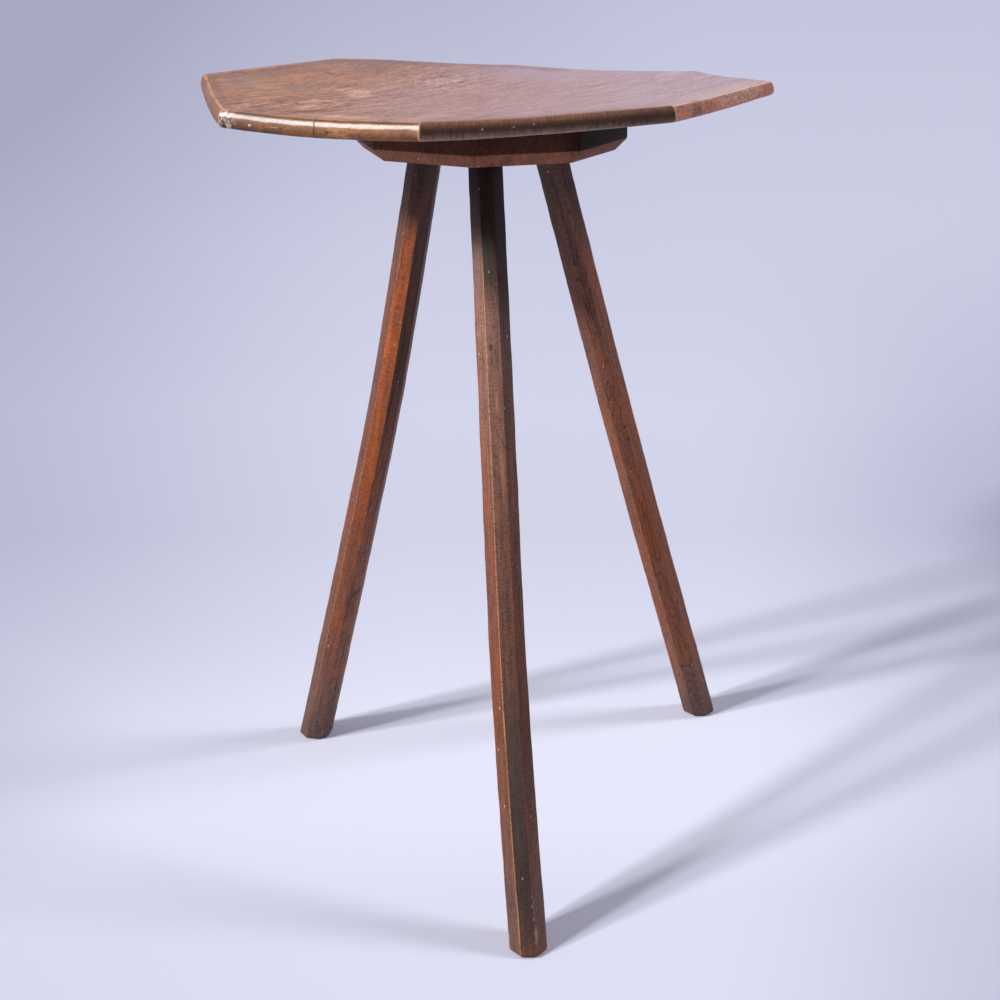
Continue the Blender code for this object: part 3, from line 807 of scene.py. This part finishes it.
def board_edge(finish):
    """Return the edge's colour, relief and shine: each side is worn and stained in its own way."""
    color, layers, tint = colours(), finish.layers, finish.tint
    around, over = finish.run()
    length, height = around * EDGE_LENGTH, over * RIM_BAND

    def pattern(along, upwards, detail, roughness):
        """Return a pattern that counts along the edge and up it."""
        return finish.noise(finish.joined(along, upwards), detail, roughness)

    mottle = finish.noise(finish.laid((0.004, 0.004, 0.004)), 4.0, 0.65)
    grit = finish.noise(finish.laid((0.0016, 0.0016, 0.0016)), 3.0, 0.7)
    cloud = pattern(length / 0.022, height / 0.01, 3.0, 0.6)
    upright = pattern(length / 0.0015, height / 0.009, 4.0, 0.7)
    lengthwise = pattern(length / 0.03, height / 0.0012, 3.0, 0.55)
    slanted = pattern((length + height * 1.6) / 0.0018, (height - length * 0.3) / 0.012, 2.0, 0.5)

    def side(number, soft=0.003):
        """Be 1 on one side of the board."""
        return around.hump(number + 0.5, 0.5 - soft, soft)

    # End-grain side at the left front
    uneven = (cloud - 0.5) * 1.7 + (slanted - 0.5) * 1.9 + (mottle - 0.5) * 1.5
    amber = layers(
        tint(color.edge_amber, uneven + over.rise(0.95, 0.45) * 0.45 + around.rise(7.15, 7.65) * 0.42 + 0.3),
        (around.hump(7.63, 0.04, 0.06) * cloud.rise(0.4, 0.6) * 0.7, color.edge_gold),
        (around.hump(7.0, 0.03, 0.08) * mottle.rise(0.45, 0.6) * 0.8, color.edge_scuffed),
        (around.hump(7.0, 0.05, 0.05) * mottle.rise(0.46, 0.36) * 0.9, color.edge_black),
        (slanted.rise(0.38, 0.28) * 0.5, color.edge_dark))
    # Front side: brown above, nearly black below, where painted shade darkens the rounding as it turns down;
    # paler again at the foot of its left half
    dark = layers(
        color.edge_brown,
        (over.rise(0.13, 0.5) * 0.9, color.edge_dark),
        (around.rise(0.55, 0.95) * 0.55, color.edge_dark),
        (over.rise(0.56, 0.86) * (1 - around.rise(0.55, 1.0) * 0.6) * 0.85, color.edge_beige))
    dark = tint(dark, (upright - 0.5) * 2.8 + cloud * 0.7 + 0.6)
    # Right front side: tan, with a dark patch and a scratched one
    scratched = around.hump(1.62, 0.12, 0.16) * over.hump(0.4, 0.22, 0.25) * grit.rise(0.5, 0.56)
    tan = layers(
        tint(color.edge_orange, cloud * 1.3 + mottle * 1.6 + lengthwise * 0.8 - 0.87),
        (around.hump(1.19, 0.03, 0.04) * cloud.rise(0.4, 0.55) * 0.6, color.edge_dark),
        (scratched * 0.85, color.edge_pale),
        (lengthwise.rise(0.56, 0.66) * grit.rise(0.4, 0.55) * 0.45, color.edge_scuffed),
        (mottle.rise(0.43, 0.33) * 0.6, color.edge_dark),
        (over.rise(0.84, 1.0) * 0.75, color.edge_dark))
    # Worn lines along the upper arris, a dark cut below it, painted highlights along each mitre joint, and a
    # crack at the left front
    worn_sides = around.hump(8.0, 2.0, 0.01) + around.hump(0.0, 2.0, 0.01)
    narrow = over.hump(0.045, 0.035, 0.03) * worn_sides * (1 - side(0) * 0.6)
    broad = over.hump(0.07, 0.06, 0.04) * (side(1) + side(6) * 0.35)
    worn = (narrow * 0.6).larger(broad) * cloud.rise(0.25, 0.5)
    cut = over.hump(0.14, 0.045, 0.035) * side(7, 0.06) * (cloud * 0.6 + 0.35)
    mitre_highlights = abs((around + 0.5) % 1.0 - 0.5).rise(0.008, 0.003)
    wander = (pattern(height / 0.004, 3.0, 2.0, 0.5) - 0.5) * 0.018
    crack = abs(around + wander - 7.505).rise(0.0048, 0.0022) * over.hump(0.45, 0.38, 0.08)
    # All sides, from the far left round to the right front, and the marks over them
    left = cloud * 0.9 + lengthwise * 0.7 - over.rise(0.25, 0.6) * 0.14 - 0.15
    edge = layers(
        tint(color.edge_brown, cloud * 0.7 + lengthwise * 0.5 + 0.4),
        (side(5) * 0.5, color.edge_dark),
        (side(6), tint(color.edge_tan, left)),
        (side(7), amber),
        (side(0), dark),
        (side(1), tan),
        (worn, finish.mix(side(1), color.edge_wear_and_highlight, color.edge_pale)),
        (cut * 0.75, color.edge_dark),
        (mitre_highlights * 0.55, color.edge_wear_and_highlight),
        (crack, color.edge_black))
    for at, half_sizes, shade in EDGE_MARKS:
        local = finish.joined((around - at[0]) / half_sizes[0], (over - at[1]) / half_sizes[1])
        edge = finish.mix(finish.oval(local, 0.6), edge, getattr(color, shade))
    relief = mottle * 0.25 + slanted * side(7) * 0.2 + upright * side(0) * 0.3 - crack
    waxed = side(7) * (1 - crack) * (1 - slanted.rise(0.46, 0.3) * 0.5)
    shine = waxed * over.rise(0.215, 0.275) * over.rise(0.52, 0.35) * (around.rise(7.1, 7.5) * 0.2 + 0.8)
    return edge, relief, shine


def board_finish(centre):
    """Old waxed board: its face, its edge and its plain underside."""
    finish = Finish("worn_board_wood")
    color = colours()
    around, over = finish.run()
    face, face_relief, dull = board_face(finish, centre)
    edge, edge_relief, shiny = board_edge(finish)
    for reach, softness, middle, half, soft, amount, shade in FACE_BORDERS:
        border = over.hump(-reach, softness[0], softness[1]) * around.hump(middle, half, soft)
        face = finish.mix(border * amount, face, getattr(color, shade))
    on_edge = over.rise(-0.06, -0.01)
    below = over.rise(0.97, 1.02)
    skin = finish.mix(on_edge, face, edge)
    skin = finish.mix(below, skin, finish.tint(color.underside, face_relief + 0.55))
    rough = dull * 0.16 + 0.36 + on_edge * 0.06 + on_edge * shiny * 0.3 + below * 0.2
    finish.set(Base_Color=skin, Roughness=rough, Coat_Weight=on_edge * shiny * (1 - below))
    finish.set(Coat_Roughness=0.09, Specular_IOR_Level=0.4)
    finish.bump(face_relief * (1 - on_edge) + edge_relief * on_edge, 0.00035)
    return finish.material


def leg_rings(points):
    """Return the heights and corners of a leg's level rings; each corner keeps its number up the leg."""
    heights = []
    rings = []
    for height in sorted(set(np.round(points[:, 2], 5))):
        ring = points[np.abs(points[:, 2] - height) < 2 * SAME_PLACE]
        offset = ring - (ring.max(0) + ring.min(0)) / 2
        outer = np.hypot(offset[:, 0], offset[:, 1]) > LEG_LEAST_REACH
        if outer.sum() == LEG_SIDES:
            turn = np.degrees(np.arctan2(offset[outer, 1], offset[outer, 0])) - FIRST_CORNER_ANGLE
            heights.append(height)
            rings.append(ring[outer][np.argsort(turn % 360.0)])
    return np.array(heights), np.array(rings)


def map_leg(piece, heights, rings):
    """Map a leg: facets counted round with the share across each, and the height."""
    mesh = piece.data
    layer = mesh.uv_layers.new(name=UV_NAME)
    flat = rings.reshape(len(rings), -1)

    def corners_at(levels):
        row = [np.interp(levels, heights, flat[:, i]) for i in range(flat.shape[1])]
        return np.array(row).T.reshape(len(levels), LEG_SIDES, 3)

    centres = np.array([face.center for face in mesh.polygons])
    corners = corners_at(centres[:, 2])
    middles = (corners + np.roll(corners, -1, axis=1)) / 2
    facets = np.argmin(np.linalg.norm(middles - centres[:, None, :], axis=2), axis=1)
    points = points_of(mesh)
    around = corners_at(points[:, 2])
    for face, facet in zip(mesh.polygons, facets):
        for loop, index in zip(face.loop_indices, face.vertices):
            start = around[index, facet]
            side = around[index, (facet + 1) % LEG_SIDES] - start
            share = np.dot(points[index] - start, side) / np.dot(side, side)
            layer.data[loop].uv = (facet + min(max(share, FACET_MARGIN), 1 - FACET_MARGIN), points[index, 2])


def leg_finish(name, foot, turn):
    """Stained and worn leg: each facet has its own stain, darkened at the top partly by dirt and partly by
    painted shade; streaks, bright arrises, and a dirty foot with a painted contact shadow along its lowest
    rim.
    """
    finish = Finish(f"leg_{name}_wood")
    color, mix = colours(), finish.mix
    around, height = finish.run()
    bent = finish.shifted(finish.place, 0.005, 0.07)

    def pattern(sizes, detail, roughness, place=None):
        """Return a pattern that lies along the leg."""
        return finish.noise(finish.laid(sizes, foot, turn, place), detail, roughness)

    streaks = pattern((0.0045, 0.0045, 0.11), 4.0, 0.6, bent)
    fine = pattern((0.001, 0.001, 0.035), 2.0, 0.5, bent)
    ripple = pattern((0.005, 0.005, 0.0013), 2.0, 0.5)
    cloud = pattern((0.016, 0.016, 0.05), 3.0, 0.6)
    grit = pattern((0.0014, 0.0014, 0.0022), 3.0, 0.7)
    # Stain: strength and warmth of each facet, with painted shade darkening the top
    share = (height + (cloud - 0.5) * 0.03 + (streaks - 0.5) * 0.02) / LEG_HEIGHT
    tone = None
    for facet, stops in FACET_STAIN_AND_SHADE[name].items():
        stain = finish.ramp(share, [(at, (*levels, 0.0)) for at, *levels in np.array(stops) / 100])
        tone = stain if tone is None else mix(around.on_facet(facet, 0.02), tone, stain)
    strength, warmth = finish.parts(tone)[:2]
    skin = mix(warmth + (streaks - 0.5) * 0.9 + (cloud - 0.5) * 0.5, color.leg_grey, color.leg_orange)
    change = (streaks - 0.5) * 1.7 + (fine - 0.5) * 1.3 + (ripple - 0.5) * 1.1
    change = change + (grit - 0.5) * 1.5 + (cloud - 0.5) * 0.6
    skin = finish.tint(skin, strength * (change + 1))
    # Slanting figure, and single marks
    tilted = (turn[0], turn[1] + radians(FIGURE_SLANT), turn[2])
    growth = finish.noise(finish.laid((0.02, 0.02, 0.15), foot, tilted, bent), 1.0, 0.4) * GROWTH_RINGS
    rings = abs(growth % 1.0 - 0.5).rise(0.2, 0.02) * streaks.rise(0.35, 0.6)
    for facet, low, high, amount in FACET_FIGURE[name]:
        here = around.on_facet(facet) * height.between(low, high, 0.03)
        skin = mix(rings * here * amount, skin, color.leg_dark)
    ragged = around + (streaks - 0.5) * 0.45 + (fine - 0.5) * 0.25
    for at, half_sizes, lean, shade, amount in LEG_MARKS[name]:
        sideways = (ragged - at[0] - (height - at[1]) * lean) / half_sizes[0]
        mark = finish.oval(finish.joined(sideways, (height - at[1]) / half_sizes[1]), 0.65)
        skin = mix(mark * around.on_facet(at[0] // 1) * amount, skin, getattr(color, shade))
    # Arrises
    for arris, low, high, amount in WORN_ARRISES[name]:
        line = abs(around - arris).rise(0.06, 0.02) * height.between(low, high, 0.03)
        skin = mix(line * grit.rise(0.34, 0.5) * amount, skin, color.leg_worn)
    for arris, low, high, spacing in DASHED_ARRISES[name]:
        line = abs(around - arris + 0.02).rise(0.045, 0.02) * height.between(low, high, 0.02)
        dashes = finish.noise(finish.joined(height / spacing, 0.0), 2.0, 0.6).rise(0.52, 0.6)
        skin = mix(line * dashes * 0.55, skin, color.leg_pale)
    arrises = abs(around % 1.0 - 0.5).rise(0.43, 0.49) * grit.rise(0.4, 0.52)
    skin = mix(arrises * 0.14, skin, finish.tint(color.leg_worn, strength * 3))
    # Chips, nicks, and a painted contact shadow along the foot's lowest rim
    chips = finish.specks(finish.laid((0.0022, 0.0022, 0.004), foot, turn), 0.008)
    nicks = finish.specks(finish.laid((0.004, 0.004, 0.014), foot, (*turn[:2], turn[2] + 1.0)), 0.05)
    skin = finish.layers(
        skin,
        (chips * 0.6, color.leg_pale),
        (nicks * 0.4, color.leg_dark),
        (height.rise(0.0032, 0.0008) * 0.85, color.leg_dark))
    finish.set(Base_Color=skin, Roughness=cloud * 0.2 + 0.46, Specular_IOR_Level=0.25)
    finish.bump(streaks * 0.3 + fine * 0.35 + ripple * 0.3 + grit * 0.15 - nicks * 0.4, 0.0004)
    return finish.material


class SIDETABLE_OT_legs(bpy.types.Operator):
    """Make the three hewn legs with their worn arrises"""

    bl_idname = "side_table.legs"
    bl_label = "Legs"

    def execute(self, context):
        for name in LEG_NAMES:
            node = f"leg_{name}"
            piece = copy_of_node(node, f"hewn_{node}")
            points = points_of(piece.data)
            heights, rings = leg_rings(points)
            shoulder = heights.max()

            def on_arris(start, end):
                rise, length = abs(start.co.z - end.co.z), (start.co - end.co).length
                low, high = sorted((start.co.z, end.co.z))
                return rise > 0.5 * length and high < shoulder + SHOULDER_MARGIN and low > ARRIS_START

            def long_span(start, end):
                return on_arris(start, end) and (start.co - end.co).length > LONG_SPAN

            select_edges(piece, long_span)
            bpy.ops.mesh.subdivide(number_cuts=SPAN_CUTS)
            select_edges(piece, on_arris)
            bpy.ops.mesh.bevel(offset=sizes().arris_bevel, segments=2, profile=0.5)
            select_edges(piece, on_arris)
            bpy.ops.mesh.subdivide(number_cuts=LEG_CUTS)
            switch("OBJECT")
            map_leg(piece, heights, rings)
            free = [v.index for v in piece.data.vertices if FOOT_BAND < v.co.z < shoulder - SHOULDER_BAND]
            weigh(piece, "free", free)
            hand_worn(piece, f"hewing_{name}", HEWING_WAVE, sizes().leg_wave, "free")
            hand_worn(piece, f"nicks_{name}", KNOCK_WAVE, sizes().leg_wave * 0.3, "free")
            smooth_by_angle(piece, LEG_CREASE)
            foot = rings[0].mean(0)
            top = rings[-1].mean(0)
            turn = Vector(top - foot).to_track_quat("Z", "Y").to_euler()
            piece.data.materials.append(leg_finish(name, tuple(foot), tuple(turn)))
            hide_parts(node)
            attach(piece, "root")
        return {"FINISHED"}


def block_finish(bottom):
    """Dark stained block: nearly black sides, a paler worn chamfer with growth rings, and small chips."""
    finish = Finish("worn_block_wood")
    color = colours()
    x, z = finish.parts(finish.place)[::2]
    bent = finish.shifted(finish.place, 0.015, 0.06)
    lean = (0.5, 0.0, radians(62))
    rings = finish.noise(finish.laid((0.05, 0.0022, 0.01), turn=lean, place=bent), 3.0, 0.55)
    fine = finish.noise(finish.laid((0.006, 0.0006, 0.003), turn=lean, place=bent), 2.0, 0.5)
    cloud = finish.noise(finish.laid((0.03, 0.03, 0.02)), 3.0, 0.6)
    grit = finish.noise(finish.laid((0.0015, 0.0015, 0.0015)), 3.0, 0.7)
    lower = (z - bottom).rise(CHAMFER_HEIGHT + 0.0006, CHAMFER_HEIGHT - 0.0006)
    arris = (z - bottom - CHAMFER_HEIGHT).hump(0.0, 0.0004, 0.0006) * grit.rise(0.48, 0.58)
    chips = finish.specks(finish.laid((0.006, 0.006, 0.003)), 0.03) * grit.rise(0.45, 0.52) * lower
    # Upright sides, the paler chamfer, and a darker right side
    skin = finish.layers(
        color.block_side,
        (lower, color.block_chamfer),
        (x.rise(0.055, 0.085) * (0.85 - lower * 0.5), color.block_black))
    skin = finish.layers(
        finish.tint(skin, (rings - 0.5) * 1.3 + (fine - 0.5) * 0.7 + (cloud - 0.5) * 0.9 + 1),
        (arris * 0.2, color.leg_worn),
        (chips * 0.8, color.leg_pale),
        ((z - bottom).rise(0.0006, 0.0) * 0.5, color.block_side))
    finish.set(Base_Color=skin, Roughness=cloud * 0.15 + 0.55, Specular_IOR_Level=0.08)
    finish.bump(rings * 0.4 + fine * 0.4 + grit * 0.2, 0.0003)
    return finish.material


class SIDETABLE_OT_block(bpy.types.Operator):
    """Make the chamfered block with its worn edges"""

    bl_idname = "side_table.block"
    bl_label = "Block"

    def execute(self, context):
        piece = copy_of_node("under_block", "worn_block")
        low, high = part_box("under_block")
        middle = (low + high) / 2
        outer = BLOCK_RIM_SHARE * (high.x - low.x) / 2

        def outside(*ends):
            return all(hypot(end.co.x - middle.x, end.co.y - middle.y) > outer for end in ends)

        select_edges(piece, outside)
        bpy.ops.mesh.bevel(offset=sizes().block_bevel, segments=2, profile=0.5)
        switch("OBJECT")
        smooth_by_angle(piece, BLOCK_CREASE)
        piece.data.materials.append(block_finish(low.z))
        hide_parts("under_block")
        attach(piece, "root")
        return {"FINISHED"}


def wedge_finish():
    """Bare wedge: pale grain along it."""
    finish = Finish("bare_wedge_wood")
    grain = finish.noise(finish.laid((0.0012, 0.004, 0.02)), 3.0, 0.6)
    finish.set(
        Base_Color=finish.mix(grain, (0.22, 0.12, 0.06), (0.42, 0.26, 0.14)),
        Roughness=0.6 + grain * 0.2)
    return finish.material


def screw_finish():
    """Tarnished steel with rust in spots."""
    finish = Finish("tarnished_steel")
    spots = finish.noise(finish.laid((0.0015, 0.0015, 0.0015)), 4.0, 0.6)
    rust = spots.rise(0.5, 0.62)
    finish.set(
        Base_Color=finish.mix(rust, (0.21, 0.2, 0.19), (0.12, 0.045, 0.02)),
        Metallic=0.95 - rust * 0.8,
        Roughness=0.35 + spots * 0.4)
    return finish.material


class SIDETABLE_OT_joinery(bpy.types.Operator):
    """Finish the wedges and the screws"""

    bl_idname = "side_table.joinery"
    bl_label = "Wedges and screws"

    def execute(self, context):
        finishes = {"wedge": wedge_finish(), "screw": screw_finish()}
        for node, item in frame["nodes"].items():
            kind = node.split("_")[0]
            if kind in finishes:
                item.data.materials.clear()
                item.data.materials.append(finishes[kind])
        return {"FINISHED"}


def floor_finish():
    """Pale seamless paper with painted light: brightest under the table, darker far off and to the sides."""
    finish = Finish("backdrop_paper")
    x, y = finish.parts(finish.place)[:2]
    away = (y - CAMERA_PLACE[1]).larger(0.4)
    nearness = CAMERA_PLACE[2] / away
    side = x / (away + 0.33)
    left = side.rise(-0.03, -0.39) * (1 - nearness.rise(0.5, 0.75) * 0.72) * 0.41
    right = side.rise(0.13, 0.36) * nearness.rise(0.15, 0.4) * 0.38
    far_right = side.rise(-0.06, 0.16) * nearness.rise(0.25, 0.02) * 0.16
    level = (finish.ramp(nearness, POOL_OF_LIGHT) - left - right + far_right).larger(0.0)
    level = level * (y.rise(*DARK_BEHIND) * 0.75 + 0.25)
    seen = finish.node("ShaderNodeLightPath", output="Is Camera Ray")
    paper = y.rise(*PAPER_FRONT).larger(seen)
    skin = finish.mix(level, colours().distance, colours().floor)
    finish.set(Base_Color=finish.tint(skin, paper * 0.85 + 0.15), Roughness=0.9, Specular_IOR_Level=0.0)
    return finish.material


class SIDETABLE_OT_stage(bpy.types.Operator):
    """Make the floor, the lamps, the surrounding light and the camera"""

    bl_idname = "side_table.stage"
    bl_label = "Stage"

    def execute(self, context):
        deselect_all()
        bpy.ops.mesh.primitive_plane_add(size=sizes().floor_size, location=(0, 0, -FLOOR_DROP))
        floor = bpy.context.object
        floor.name = "floor"
        floor.data.materials.append(floor_finish())
        for name, *place, strength, width in LAMPS:
            bpy.ops.object.light_add(type="SUN")
            made = bpy.context.object
            made.name = name
            made.data.energy = strength
            made.data.angle = radians(width)
            turn, tilt = (radians(angle) for angle in place)
            source = Vector((cos(turn) * cos(tilt), sin(turn) * cos(tilt), sin(tilt)))
            made.rotation_euler = source.to_track_quat("Z", "Y").to_euler()
        self.add_world()
        self.add_camera()
        bpy.context.scene.view_settings.view_transform = "Standard"
        return {"FINISHED"}

    def add_world(self):
        """Light the shaded sides a little, and show the pale backdrop behind and in reflections."""
        world = bpy.data.worlds.new("studio")
        bpy.context.scene.world = world
        world.use_nodes = True
        sky = Tree(world.node_tree)
        direction = sky.node("ShaderNodeTexCoord", output="Generated")
        x, y = sky.parts(direction)[:2]
        backdrop = sky.mix(x.rise(*BACKDROP_LIMITS, "LINEAR"), BACKDROP_LEFT, BACKDROP_RIGHT)
        backdrop = sky.mix(y.rise(*ROOM_LIMITS, "LINEAR"), backdrop, DARK_ROOM)
        backdrop = sky.mix(self.softbox(sky, direction), backdrop, SOFTBOX)
        mirrored, seen = (
            sky.node("ShaderNodeLightPath", output=kind) for kind in ("Is Glossy Ray", "Is Camera Ray"))
        lit = sky.mix(mirrored, FILL_LIGHT, backdrop)
        background = world.node_tree.nodes["Background"]
        sky.feed(background.inputs["Color"], sky.mix(seen, lit, colours().distance))

    def softbox(self, sky, direction):
        """Be 1 where a direction points into the tall softbox at the left front, and 0 elsewhere."""
        turn = (0.0, 0.0, radians(SOFTBOX_FROM))
        inputs = {"Vector": direction, "Rotation": turn}
        turned = sky.node("ShaderNodeMapping", {"vector_type": "TEXTURE"}, inputs)
        share = 1.0
        limits = ((0.0, SOFTBOX_BEYOND), (-SOFTBOX_HALF_WIDTH, SOFTBOX_HALF_WIDTH), SOFTBOX_HEIGHTS)
        for part, (low, high) in zip(sky.parts(turned), limits):
            share = part.rise(low, low + SOFTBOX_BLUR) * part.rise(high, high - SOFTBOX_BLUR) * share
        return share

    def add_camera(self):
        """Put the camera where the photograph was taken from."""
        bpy.ops.object.camera_add()
        camera = bpy.context.object
        camera.name = "camera"
        camera.data.lens = CAMERA_LENS_MM
        camera.data.sensor_width = SENSOR_MM
        camera.data.clip_end = 200.0
        pan = Matrix.Rotation(radians(-CAMERA_RIGHT), 4, "Z")
        tilt = Matrix.Rotation(radians(90 - CAMERA_DOWN), 4, "X")
        roll = Matrix.Rotation(radians(CAMERA_ROLL), 4, "Z")
        camera.matrix_world = Matrix.Translation(CAMERA_PLACE) @ pan @ tilt @ roll
        bpy.context.scene.camera = camera


class SIDETABLE_PT_panel(bpy.types.Panel):
    """Lists the pieces of the side table"""

    bl_label = "Side Table"
    bl_space_type = "VIEW_3D"
    bl_region_type = "UI"
    bl_category = "Side Table"

    def draw(self, context):
        layout = self.layout
        for step in STEPS:
            layout.operator(step.bl_idname)
        for group in (sizes(), colours()):
            for name in group.bl_rna.properties.keys():
                if name not in ("rna_type", "name"):
                    layout.prop(group, name)


STEPS = (SIDETABLE_OT_stage, SIDETABLE_OT_board, SIDETABLE_OT_block, SIDETABLE_OT_legs, SIDETABLE_OT_joinery)
CLASSES = (SideTableColours, SideTableSizes, *STEPS, SIDETABLE_PT_panel)


def register():
    """Add the table's classes and settings."""
    for item in CLASSES:
        bpy.utils.register_class(item)
    bpy.types.Scene.side_table_sizes = bpy.props.PointerProperty(type=SideTableSizes)
    bpy.types.Scene.side_table_colours = bpy.props.PointerProperty(type=SideTableColours)


def unregister():
    """Take the table's classes and settings away again."""
    del bpy.types.Scene.side_table_colours
    del bpy.types.Scene.side_table_sizes
    for item in reversed(CLASSES):
        bpy.utils.unregister_class(item)


def main():
    """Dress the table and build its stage."""
    register()
    own = [*frame["nodes"].values(), *frame["bodies"].values()]
    for item in list(bpy.data.objects):
        if item not in own:
            bpy.data.objects.remove(item, do_unlink=True)
    bpy.ops.side_table.stage()
    bpy.ops.side_table.board()
    bpy.ops.side_table.block()
    bpy.ops.side_table.legs()
    bpy.ops.side_table.joinery()
    deselect_all()


if __name__ == "__main__":
    main()
